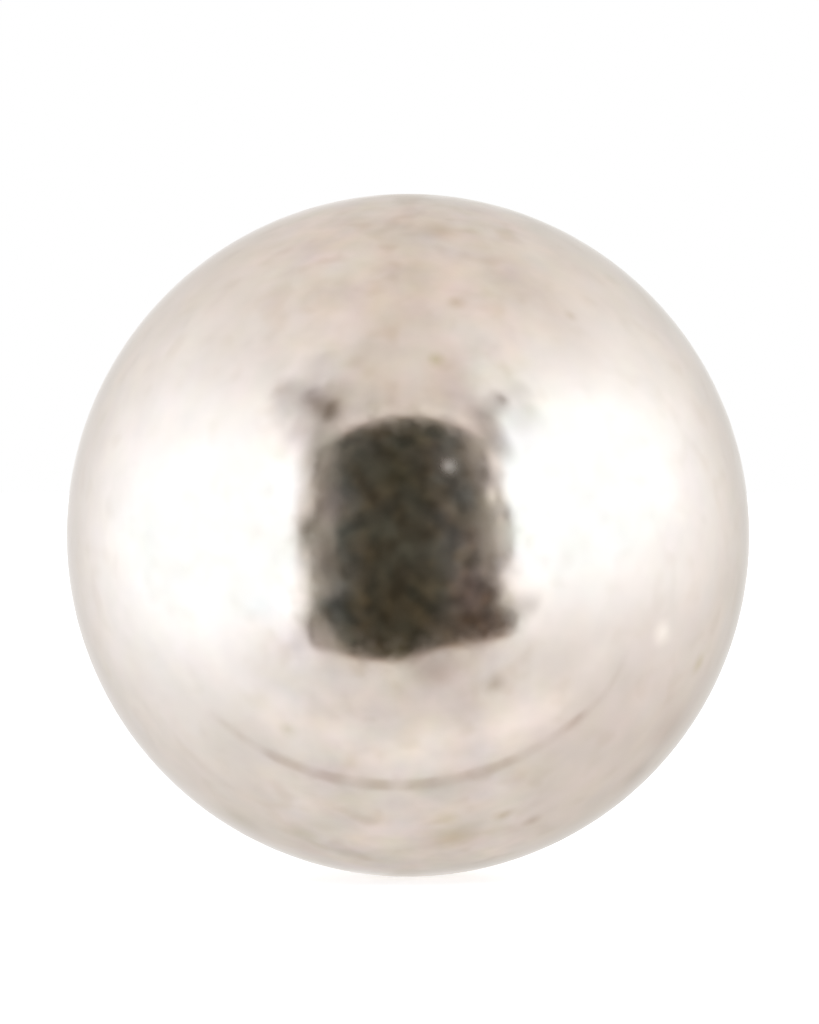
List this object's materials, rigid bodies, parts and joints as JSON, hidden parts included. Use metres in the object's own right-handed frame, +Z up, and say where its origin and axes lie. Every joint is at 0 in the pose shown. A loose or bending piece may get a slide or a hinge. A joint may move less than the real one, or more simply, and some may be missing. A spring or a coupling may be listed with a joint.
{
  "type": "steel ball",
  "caption": "Solid polished steel ball, a true sphere with no flat, hole or seam.",
  "frame": {"origin": "centre of the ball", "axes": "+Z points up, away from the seat that the ball rests in; the ball is alike all round, so X and Y are free, and the side first seen faces -Y"},
  "size_m": [0.0254, 0.0254, 0.0254],
  "materials": {
    "polished_steel": "polished"
  },
  "bodies": {
    "root": {"ball": "polished_steel"}
  },
  "joints": []
}
